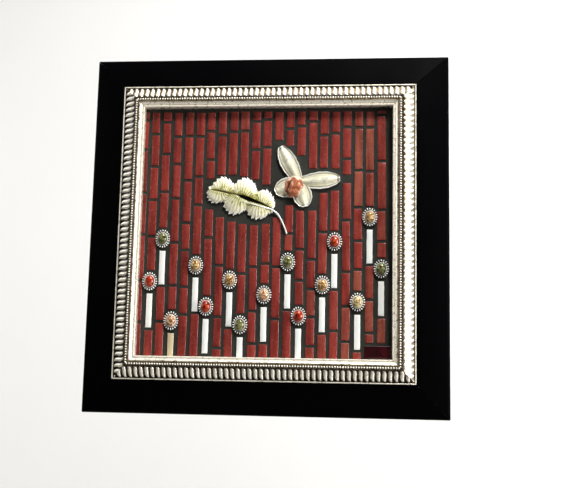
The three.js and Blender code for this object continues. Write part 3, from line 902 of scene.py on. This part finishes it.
class MOSAIC_OT_stems(bpy.types.Operator):
    """Lays the flowers' white glass stems"""
    bl_idname = "mosaic.stems"
    bl_label = "Pearl Stems"

    def execute(self, context):
        look = settings("mosaic_look")
        template = slab_template(*STEM_GRID)
        material = pearl_glass()
        for index, number in enumerate(FLOWERS):
            node = f"stem_{number}"
            low, high = box_of(node)
            stem = lay_slab(template, f"pearl_stem_{number}", face_corners(low, high), low.y, high.y,
                            STEM_GRID, 0.4 * MM, look.wobble, 50 + index)
            mark(stem, "shade", 1 if number == WARM_STEM else 0)
            smooth(stem, 50)
            dressed(stem, material, node)
        bpy.data.objects.remove(template)
        return {"FINISHED"}


PLAQUE_DOME = 0.7 * MM


class MOSAIC_OT_plaque(bpy.types.Operator):
    """Lays the bare dark glass piece in the lower right corner"""
    bl_idname = "mosaic.plaque"
    bl_label = "Corner Plaque"

    def execute(self, context):
        template = slab_template(*PLAQUE_GRID)
        low, high = box_of("corner_plaque")
        plaque = lay_slab(template, "dark_plaque", face_corners(low, high), low.y, high.y,
                          PLAQUE_GRID, 0.5 * MM, 0.1 * MM, 90)
        bpy.data.objects.remove(template)
        smooth(plaque, 50)
        middle, half = (low + high) / 2, (high - low) / 2
        for vertex in plaque.data.vertices:
            across, along = (vertex.co.x - middle.x) / half.x, (vertex.co.z - middle.z) / half.z
            if vertex.co.y < middle.y:
                vertex.co.y -= PLAQUE_DOME * max(0, 1 - across ** 2) * max(0, 1 - along ** 2)
        dressed(plaque, dark_glass(), "corner_plaque")
        return {"FINISHED"}


def oval_point(angle, half_width, half_length):
    return Vector((half_width * math.cos(angle), 0, half_length * math.sin(angle)))


def even_angles(count, half_width, half_length):
    """Angles that space points evenly round an oval"""
    steps = 720
    reach = [0.0]
    last = oval_point(0, half_width, half_length)
    for step in range(1, steps + 1):
        point = oval_point(2 * math.pi * step / steps, half_width, half_length)
        reach.append(reach[-1] + (point - last).length)
        last = point
    angles = []
    for index in range(count):
        target = reach[-1] * index / count
        angles.append(2 * math.pi * next(s for s, r in enumerate(reach) if r >= target) / steps)
    return angles


def flat_oval(name, half_width, half_length, front, back, wear_and_shading):
    disc = moved(drum(name, 40), FACING)
    for vertex in disc.data.vertices:
        y = front if vertex.co.y < 0 else back
        vertex.co = (vertex.co.x * half_width, y, vertex.co.z * half_length)
    bevelled(disc, 0.15 * MM, 2, 40)
    mark(disc, "wear_and_shading", wear_and_shading)
    return disc


def rim_bead(spot, angle, half_out, half_along, rise):
    bead = ball("rim_bead", 10, 6)
    turn = Matrix.Rotation(-angle, 4, "Y")
    wear_and_shading_values = []
    for vertex in bead.data.vertices:
        out, deep, along = vertex.co
        # Painted shade: dark on the bead's sides and back
        wear_and_shading_values.append(clamped(0.35 - 1.1 * deep))
        vertex.co = turn @ Vector((out * half_out, shaped(deep, 0.4) * rise, along * half_along)) + spot
    mark(bead, "wear_and_shading", wear_and_shading_values)
    return bead


def oval_ring(name, half_width, half_length, thickness, depth, wear_and_shading):
    tube = 0.1
    bpy.ops.mesh.primitive_torus_add(
        major_segments=48, minor_segments=8, major_radius=1, minor_radius=tube)
    ring = moved(named(name), FACING)
    wear_and_shading_values = []
    for vertex in ring.data.vertices:
        flat = Vector((vertex.co.x, 0, vertex.co.z))
        around = flat.normalized()
        swell = (flat.length - 1) / tube
        rise = vertex.co.y / tube
        spot = Vector((around.x * half_width, 0, around.z * half_length)) + around * swell * thickness
        # Painted shade: dark on the bezel's back
        wear_and_shading_values.append(wear_and_shading * clamped(0.4 - rise))
        spot.y = depth + rise * thickness
        vertex.co = spot
    mark(ring, "wear_and_shading", wear_and_shading_values)
    return ring


# A setting's plate behind its front, its beads' half height, and the bezel's place and thickness
PLATE_DEPTH = 1.1 * MM
RIM_RISE = 0.75 * MM
BEZEL_TUBE = 0.28 * MM
BEZEL_INSET = (2.5 * MM, 3.1 * MM)


def setting_template(size, front):
    """A beaded rim round a cup: front is the depth of the rim's plate, from the wall out"""
    flower = settings("mosaic_flowers")
    half_width, half_length = (length + flower.overhang for length in size)
    inner = flower.bead_length
    # The plate is marked 0, so it is painted black as shade behind the beads
    pieces = [flat_oval("plate", half_width - inner * 0.45, half_length - inner * 0.45,
                        front + PLATE_DEPTH, GROUT_FRONT - 0.1 * MM, 0)]
    middle_width = half_width - inner / 2
    middle_length = half_length - inner / 2
    for angle in even_angles(flower.beads, middle_width, middle_length):
        spot = oval_point(angle, middle_width, middle_length)
        square = math.atan2(spot.z / middle_length ** 2, spot.x / middle_width ** 2)
        spot.y = front + RIM_RISE
        pieces.append(rim_bead(spot, square, inner / 2, flower.bead_width / 2, RIM_RISE))
    pieces.append(oval_ring("bezel", half_width - BEZEL_INSET[0], half_length - BEZEL_INSET[1],
                            BEZEL_TUBE, front + 0.1 * MM, 1))
    return joined(pieces, "setting_template")


class MOSAIC_OT_settings(bpy.types.Operator):
    """Makes one beaded silver setting and copies it to every flower"""
    bl_idname = "mosaic.settings"
    bl_label = "Flower Settings"

    def execute(self, context):
        low, high = box_of(f"setting_{FLOWERS[0]}")
        half = (high - low) / 2
        template = setting_template((half.x, half.z), low.y)
        smooth(template, 60)
        material = silver_plate()
        for number in FLOWERS:
            low, high = box_of(f"setting_{number}")
            middle = (low + high) / 2
            piece = copied(template, f"beaded_setting_{number}")
            moved(piece, Matrix.Translation((middle.x, 0, middle.z)))
            dressed(piece, material, f"setting_{number}")
        bpy.data.objects.remove(template)
        return {"FINISHED"}


# How far a stone reaches behind its widest line, as a share of its dome
GIRDLE = 0.08


class MOSAIC_OT_stones(bpy.types.Operator):
    """Polishes the oval stones"""
    bl_idname = "mosaic.stones"
    bl_label = "Oval Stones"

    def execute(self, context):
        height = settings("mosaic_flowers").stone_height
        materials = {slot: stone_finish(slot) for slot in STONE_COLOURS}
        template = moved(ball("stone", 36, 24), FACING)
        cut(template, (0, GIRDLE, 0), (0, 1, 0))
        for number in FLOWERS:
            node = f"stone_{number}"
            low, high = box_of(node)
            middle = (low + high) / 2
            half = (high - low) / 2 + Vector((0.8, 0, 0.7)) * MM
            stone = copied(template, f"oval_stone_{number}")
            for vertex in stone.data.vertices:
                rise = max(-vertex.co.y, -GIRDLE) + GIRDLE
                swell = 1 - 0.02 * noise.noise(vertex.co * 1.7 + Vector((int(number), 0, 0)))
                vertex.co = (
                    middle.x + vertex.co.x * half.x,
                    high.y - rise / (1 + GIRDLE) * height * swell,
                    middle.z + vertex.co.z * half.z)
            smooth(stone, 40)
            dressed(stone, materials[SLOTS[node]], node)
        bpy.data.objects.remove(template)
        return {"FINISHED"}


def axes(turn):
    """The directions ahead and to the left in the plane of the picture, for a turn from +X"""
    return Vector((math.cos(turn), 0, math.sin(turn))), Vector((-math.sin(turn), 0, math.cos(turn)))


def blade(name, grid, surface, rim, place):
    """A modelled front on a flat back. Its functions take the share of the way along and the side"""
    piece = sheet(name, *grid)
    wear_and_shading_values, rims = [], []
    for vertex in piece.data.vertices:
        share, side = (vertex.co.x + 1) / 2, vertex.co.y
        height, wear_and_shading = surface(share, side)
        spot = place(share, side)
        vertex.co = (spot.x, FIGURE_BACK - height, spot.z)
        wear_and_shading_values.append(clamped(wear_and_shading))
        rims.append(rim(share, side))
    mark(piece, "wear_and_shading", wear_and_shading_values)
    mark(piece, "rim", rims)
    closed_to_back(piece, FIGURE_BACK)
    return piece


def leaf_spot(share, across):
    """A place on the leaf's plane: a share of the way along the bowed midrib, and how far beside it"""
    ahead, beside = axes(LEAF_TURN)
    bow = 4 * LEAF_BOW * share * (1 - share)
    sweep = LEAF_FAN * (share - 0.32) * abs(across)
    along = share * settings("mosaic_figures").leaf_length + sweep
    return LEAF_PLACE + ahead * along + beside * (across - bow)


def lobes_passed(share, side):
    """Lobes on the way along the leaf, which are out of step on its two sides"""
    return settings("mosaic_figures").lobes * share + (0.1 if side < 0 else -0.12)


def leaf_lobe(share, side):
    """From 0 in the clefts between the lobes to 1 along their middles"""
    return wave(lobes_passed(share, side)) ** 0.36


def leaf_half_width(share, side):
    figure = settings("mosaic_figures")
    body = math.sin(math.pi * (0.04 + 0.92 * share) ** 0.9) ** 0.6
    lobes = 1 - 0.46 * (1 - leaf_lobe(share, side))
    passed = figure.teeth * share + (0.3 if side < 0 else 0)
    number = math.floor(passed)
    size = 0.95 + 0.8 * noise.noise(Vector((number * 1.7, side, 2)))
    jag = (1 - (passed - number)) * size
    fine = wave(figure.teeth * 2.7 * share)
    uneven = 1 + 0.06 * noise.noise(Vector((9 * share, 3 * side, 0)))
    tooth = (2.5 * jag + 0.8 * fine) * MM
    return figure.leaf_width / 2 * 1.08 * body * lobes * uneven - tooth * abs(side) ** 4


def leaf_flutes(share, side):
    """Soft grooves that fan out within each lobe, from where it grows on the midrib"""
    figure = settings("mosaic_figures")
    passed = lobes_passed(share, side)
    within = passed - math.floor(passed) - 0.5
    stray = 0.4 * noise.noise(Vector((6 * share, 2.5 * side, 4)))
    return wave(figure.teeth / figure.lobes * within / (0.4 + 0.6 * abs(side)) + stray)


def leaf_surface(share, side):
    """Height above the back, and how bright the enamel is, from 0 to 1: olive in the hollows and along
    the midrib, as pooled enamel and painted shade
    """
    apart = abs(side)
    cup = leaf_lobe(share, side)
    flutes = leaf_flutes(share, side)
    dome = (1 - side ** 2) * (0.5 + 0.5 * math.sin(math.pi * share))
    midrib = max(0, 1 - apart / 0.08)
    height = 1.4 * MM + 4.4 * MM * dome * (0.45 + 0.55 * cup)
    height += 0.55 * MM * flutes * (1 - apart ** 4) * (0.3 + 0.7 * apart)
    height += 0.45 * MM * ridge(1 - apart, 0.06) - 1.4 * MM * midrib
    # Pooled enamel and painted shade: darker along the midrib and in the flutes and clefts
    wear_and_shading = 0.1 + 0.35 * cup * apart + 0.24 * flutes * (1 - apart ** 2)
    return max(height, LEAST_HEIGHT), wear_and_shading + 0.7 * apart ** 1.6 - 0.6 * midrib


def leaf_rim(share, side):
    """1 where the leaf's metal is bare, at its edge and at its two ends"""
    return min(1, ridge(1 - abs(side), 0.1) + ridge(min(share, 1 - share), 0.015))


def leaf_blade():
    """A lobed blade with a toothed edge, fluted from the midrib out"""
    return blade("leaf_blade", (240, 56), leaf_surface, leaf_rim,
                 lambda share, side: leaf_spot(share, side * leaf_half_width(share, side)))


def leaf_slot(leaf):
    """Opens the dark split along the midrib"""
    cutter = moved(drum("slot_cutter", 32), FACING)
    for vertex in cutter.data.vertices:
        share = (vertex.co.x + 1) / 2
        spot = leaf_spot(0.05 + 0.5 * share, 2.0 * MM * vertex.co.z * (0.3 + 1.1 * share))
        vertex.co = (spot.x, FIGURE_BACK + vertex.co.y * 10 * MM, spot.z)
    applied(leaf, "BOOLEAN", operation="DIFFERENCE", object=cutter, solver="EXACT")
    bpy.data.objects.remove(cutter)


def curved_rod(name, route):
    """A closed rod of bare metal through points, each with a radius in millimetres"""
    curve = bpy.data.curves.new(name, "CURVE")
    curve.dimensions = "3D"
    curve.bevel_depth = 1
    curve.bevel_resolution = 3
    curve.use_fill_caps = True
    spline = curve.splines.new("NURBS")
    spline.points.add(len(route) - 1)
    for target, (point, radius) in zip(spline.points, route):
        target.co = (*point, 1)
        target.radius = radius * MM
    spline.use_endpoint_u = True
    spline.order_u = 3
    spline.resolution_u = 8
    rod = bpy.data.objects.new(name, curve)
    bpy.context.collection.objects.link(rod)
    pick(rod)
    bpy.ops.object.convert(target="MESH")
    rod = named(name)
    in_edit_mode(rod, lambda: bpy.ops.mesh.remove_doubles(threshold=WELD))
    outward(rod)
    mark(rod, "rim", 1)
    mark(rod, "wear_and_shading", 1)
    return rod


class MOSAIC_OT_leaf(bpy.types.Operator):
    """Models the enamelled leaf, its split midrib and its stalk"""
    bl_idname = "mosaic.leaf"
    bl_label = "Leaf"

    def execute(self, context):
        leaf = leaf_blade()
        leaf_slot(leaf)
        over = Vector((0, STRIP_FRONT - JOINT - 1.1 * MM, 0))
        rise = Vector((0, -4.0 * MM, 0))
        route = [
            (leaf_spot(0.45, 4.2 * MM) + over + rise * 0.9, 0.3),
            (leaf_spot(0.28, 3.4 * MM) + over + rise * 0.85, 0.5),
            (leaf_spot(0.1, 2.0 * MM) + over + rise * 0.5, 0.7),
            (leaf_spot(0.0, 0.4 * MM) + over, 0.95),
            (LEAF_PLACE + Vector((8.5, 0, -8.5)) * MM + over, 0.9),
            (LEAF_PLACE + Vector((14, 0, -24)) * MM + over, 0.75),
        ]
        stalk = curved_rod("stalk", route)
        piece = joined([leaf, stalk], "enamelled_leaf")
        smooth(piece, 50)
        dressed(piece, leaf_enamel(), "leaf")
        return {"FINISHED"}


# Petals: turn in degrees, length, width and height in millimetres
PETALS = ((118, 40, 17, 4.4), (5, 40, 17, 4.4), (203, 25, 19, 5), (285, 25, 19, 5))
PETAL_EDGE = 1.5 * MM


def near_petal_rim(share, side):
    """1 on a petal's outline, and less within it"""
    return max(abs(side), (share - 0.75) / 0.25)


def petal(index, turn, length, width, height):
    ahead, beside = axes(math.radians(turn))

    def place(share, side):
        body = math.sin(math.pi * (0.12 + 0.84 * share ** 1.3)) ** 0.6
        ruffle = 0.25 * MM * wave(share * 5 + 0.5 * index) * abs(side) ** 3
        across = side * (width * MM / 2 * body - ruffle)
        return BLOSSOM_PLACE + ahead * (share * length * MM) + beside * across

    def surface(share, side):
        near = near_petal_rim(share, side)
        dome = (1 - side ** 2) * (1 - 0.6 * share ** 2)
        dish = ridge(abs(side) - 0.5, 0.3)
        veins = wave(side * 5) * (1 - abs(side))
        relief = 0.8 * ridge(1 - near, 0.11) - 0.8 * dish - 0.12 * veins
        tall = PETAL_EDGE + (height * MM - PETAL_EDGE) * dome + MM * relief
        # Painted shade: darker at the base, in the dish and veins, and in a line inside the rim
        wear_and_shading = 0.62 + 0.35 * share - 0.25 * dish - 0.2 * veins - 0.7 * ridge(0.8 - near, 0.08)
        return max(tall, LEAST_HEIGHT), wear_and_shading

    return blade(f"petal_{index}", (76, 44), surface,
                 lambda share, side: ridge(1 - near_petal_rim(share, side), 0.1), place)


class MOSAIC_OT_blossom(bpy.types.Operator):
    """Models the blossom's four enamelled petals"""
    bl_idname = "mosaic.blossom"
    bl_label = "Blossom"

    def execute(self, context):
        petals = [petal(index, *sizes) for index, sizes in enumerate(PETALS)]
        blossom = joined(petals, "enamelled_blossom")
        smooth(blossom, 50)
        dressed(blossom, petal_enamel(), "blossom")
        return {"FINISHED"}


# The lip's half width and half length, its turn, and its reach behind its widest line
LIP_HALF = (9.2 * MM, 10.9 * MM)
LIP_TURN = math.radians(20)
LIP_UNDER = 0.12


class MOSAIC_OT_lip(bpy.types.Operator):
    """Models the blossom's cupped coral lip"""
    bl_idname = "mosaic.lip"
    bl_label = "Blossom Lip"

    def execute(self, context):
        low, high = box_of("blossom_lip")
        middle = (low + high) / 2
        lip = moved(ball("coral_lip", 48, 32), FACING)
        wear_and_shading_values, folds = [], []
        for vertex in lip.data.vertices:
            x, rise, z = vertex.co.x, -vertex.co.y, vertex.co.z
            front = 1 if rise > 0 else 0
            angle = math.atan2(z, x)
            reach = math.hypot(x, z)
            frill = 1 + 0.05 * math.sin(7 * angle) * reach ** 2
            hollow = 0.3 * math.exp(-((x + 0.1) ** 2 / 0.16 + (z - 0.1) ** 2 / 0.3)) * front
            fold = ridge(x + 0.5 - 0.25 * z ** 2, 0.13) * max(0, 1 - z ** 2) * front
            # Marks the fold for painted shade, and the reach for a painted highlight toward the edge
            folds.append(fold)
            wear_and_shading_values.append(min(1, reach) * front)
            ripple = 0.06 * math.sin(5 * angle) * reach * front
            tall = max(rise, -LIP_UNDER) - hollow - 0.25 * fold + ripple
            depth = high.y - (tall + LIP_UNDER) / (1 + LIP_UNDER) * (high.y - low.y)
            flat = Vector((x * LIP_HALF[0] * frill, 0, z * LIP_HALF[1] * frill))
            flat = Matrix.Rotation(LIP_TURN, 4, "Y") @ flat
            vertex.co = (middle.x + flat.x, depth, middle.z + flat.z)
        mark(lip, "wear_and_shading", wear_and_shading_values)
        mark(lip, "crease_shade", folds)
        smooth(lip, 60)
        dressed(lip, coral_enamel(), "blossom_lip")
        return {"FINISHED"}


# The hanger's nails: how far in from its ends, and how far behind the rail's back
NAIL_INSET = 4.5 * MM
NAIL_PROUD = 1.63 * MM


class MOSAIC_OT_back(bpy.types.Operator):
    """Finishes the board and the toothed hanger on the back"""
    bl_idname = "mosaic.back"
    bl_label = "Back and Hanger"

    def execute(self, context):
        finished_copy("backing_board", "fibre_board", 0.3 * MM, raw_board())
        finished_copy("sawtooth_hanger", "toothed_hanger", 0.12 * MM, zinc_steel())
        low, high = box_of("sawtooth_hanger")
        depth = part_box("rail_top")[1][1] + NAIL_PROUD
        nails = []
        for side in (-1, 1):
            nail = drum(f"nail_{side}", 24, 1.9 * MM, 0.7 * MM)
            bevelled(nail, 0.25 * MM, 3, 40)
            place = (side * (high.x - NAIL_INSET), depth, (low.z + high.z) / 2)
            nails.append(moved(nail, Matrix.Translation(place) @ FACING))
        heads = joined(nails, "hanger_nails")
        smooth(heads, 40)
        dressed(heads, blued_steel(), slot=SLOTS["sawtooth_hanger"])
        return {"FINISHED"}


# The camera as fitted to the photograph's edges, with its turns in degrees
CAMERA_PLACE = (0.10898, -0.92832, -0.30213)
CAMERA_TURN = (98.5393, -1.1639, 5.4884)
# The pale floor, the bend up to its backdrop, and the dome
FLOOR_HEIGHT = -3
FLOOR_NEAR = -5
FLOOR_LENGTH = 11
FLOOR_HALF_WIDTH = 5
BACKDROP = 1.5
BEND = 0.7
DOME_RADIUS = 16
DOME_FLOOR = -12
# Lamps: name, place, target, size, share of the key lamp's power, and colour
LAMPS = (
    ("key", (0.65, -1.05, 1.3), MIDDLE, 0.5, 1, (1, 0.985, 0.95)),
    ("window", (2.0, -0.7, -0.15), MIDDLE, 1.0, 0.9, (1, 0.99, 0.97)),
    ("low_window", (1.2, -0.3, -1.4), MIDDLE, 0.4, 0.1, (1, 0.99, 0.97)),
    ("skylight", (0.1, -0.3, 1.7), MIDDLE, 0.9, 0.35, (1, 1, 1)),
    ("fill", (-1.8, -0.2, 0.45), MIDDLE, 1.0, 0.27, (0.97, 0.98, 1)),
    ("wall_wash", (1.1, 0.4, 1.2), (0.7, 1.5, -0.4), 1.4, 0.5, (1, 1, 0.99)),
    ("far_wash", (-3.3, 0, 0.3), (-3.5, 1.5, -0.3), 1.6, 1.3, (1, 1, 0.99)),
    ("far_wash", (3.3, 0, 0.3), (3.5, 1.5, -0.3), 1.6, 1.3, (1, 1, 0.99)),
)


def area_lamp(name, place, target, size, power, colour):
    bpy.ops.object.light_add(type="AREA", location=place)
    lamp = bpy.context.object
    lamp.name = name
    lamp.data.shape = "DISK"
    lamp.data.size = size
    lamp.data.energy = power
    lamp.data.color = colour
    lamp.rotation_euler = (Vector(target) - Vector(place)).to_track_quat("-Z", "Y").to_euler()


def stage_finish():
    look = Finish("pale_stage")
    wall = settings("mosaic_stage").wall
    tone = look.mix(look.noise(3, 3), scaled(wall, 0.98), scaled(wall, 1.02))
    return look.set(Base_Color=tone, Roughness=0.9)


def pale_floor():
    """A floor that curves up to a backdrop"""
    sweep = sheet("pale_floor", 2, 60)
    quarter = BEND * math.pi / 2
    for vertex in sweep.data.vertices:
        run = (vertex.co.y + 1) / 2 * FLOOR_LENGTH + FLOOR_NEAR
        past = run - (BACKDROP - BEND)
        angle = clamped(past / quarter) * math.pi / 2
        y = min(run, BACKDROP - BEND) + BEND * math.sin(angle)
        z = FLOOR_HEIGHT + BEND * (1 - math.cos(angle)) + max(0, past - quarter)
        vertex.co = (vertex.co.x * FLOOR_HALF_WIDTH, y, z)
    smooth(sweep, 60)
    sweep.data.materials.append(stage_finish())


def pale_dome():
    """A plain pale surround for the views from behind and the side, which lights nothing"""
    dome = ball("pale_dome", 48, 24, DOME_RADIUS)
    cut(dome, (0, 0, DOME_FLOOR), (0, 0, 1), outer=False)
    smooth(dome, 60)
    dome.data.materials.append(Finish("pale_surround").set(
        Base_Color=(0, 0, 0), Specular_IOR_Level=0.0, Emission_Color=(0.8, 0.8, 0.82),
        Emission_Strength=0.75))
    dome.visible_diffuse = False
    dome.visible_glossy = False
    dome.visible_shadow = False


class MOSAIC_OT_stage(bpy.types.Operator):
    """Sets up the camera, the soft lamps, and a pale floor that curves up to a backdrop"""
    bl_idname = "mosaic.stage"
    bl_label = "Stage"

    def execute(self, context):
        stage = settings("mosaic_stage")
        turn = [math.radians(degrees) for degrees in CAMERA_TURN]
        bpy.ops.object.camera_add(location=CAMERA_PLACE, rotation=turn)
        camera = context.object
        camera.data.sensor_width = 36
        camera.data.lens = stage.lens
        context.scene.camera = camera
        pale_floor()
        pale_dome()
        for name, place, target, size, share, colour in LAMPS:
            area_lamp(name, place, target, size, stage.key_power * share, colour)
        world = bpy.data.worlds.new("soft_room")
        world.use_nodes = True
        background = world.node_tree.nodes["Background"]
        background.inputs["Color"].default_value = (1, 1, 1, 1)
        background.inputs["Strength"].default_value = stage.sky
        context.scene.world = world
        context.scene.view_settings.view_transform = "Standard"
        return {"FINISHED"}


class MOSAIC_PT_panel(bpy.types.Panel):
    """Lists the steps that dress the panel"""
    bl_idname = "MOSAIC_PT_panel"
    bl_label = "Framed Mosaic Panel"
    bl_space_type = "VIEW_3D"
    bl_region_type = "UI"
    bl_category = "Mosaic"

    def draw(self, context):
        for name, group in GROUPS.items():
            box = self.layout.box()
            for key in group.__annotations__:
                box.prop(getattr(context.scene, name), key)
        for operator in OPERATORS:
            self.layout.operator(operator.bl_idname)


GROUPS = {
    "mosaic_frame": FrameSettings,
    "mosaic_look": MosaicSettings,
    "mosaic_flowers": FlowerSettings,
    "mosaic_figures": FigureSettings,
    "mosaic_stage": StageSettings,
}
OPERATORS = (
    MOSAIC_OT_stage,
    MOSAIC_OT_rails,
    MOSAIC_OT_liner,
    MOSAIC_OT_grout,
    MOSAIC_OT_strips,
    MOSAIC_OT_stems,
    MOSAIC_OT_plaque,
    MOSAIC_OT_settings,
    MOSAIC_OT_stones,
    MOSAIC_OT_leaf,
    MOSAIC_OT_blossom,
    MOSAIC_OT_lip,
    MOSAIC_OT_back,
)


def register():
    for group in GROUPS.values():
        bpy.utils.register_class(group)
    for name, group in GROUPS.items():
        setattr(bpy.types.Scene, name, bpy.props.PointerProperty(type=group))
    for operator in OPERATORS:
        bpy.utils.register_class(operator)
    bpy.utils.register_class(MOSAIC_PT_panel)


def unregister():
    bpy.utils.unregister_class(MOSAIC_PT_panel)
    for operator in reversed(OPERATORS):
        bpy.utils.unregister_class(operator)
    for name, group in reversed(GROUPS.items()):
        delattr(bpy.types.Scene, name)
        bpy.utils.unregister_class(group)


def main():
    register()
    for operator in OPERATORS:
        group, name = operator.bl_idname.split(".")
        getattr(getattr(bpy.ops, group), name)()


if __name__ == "__main__":
    main()
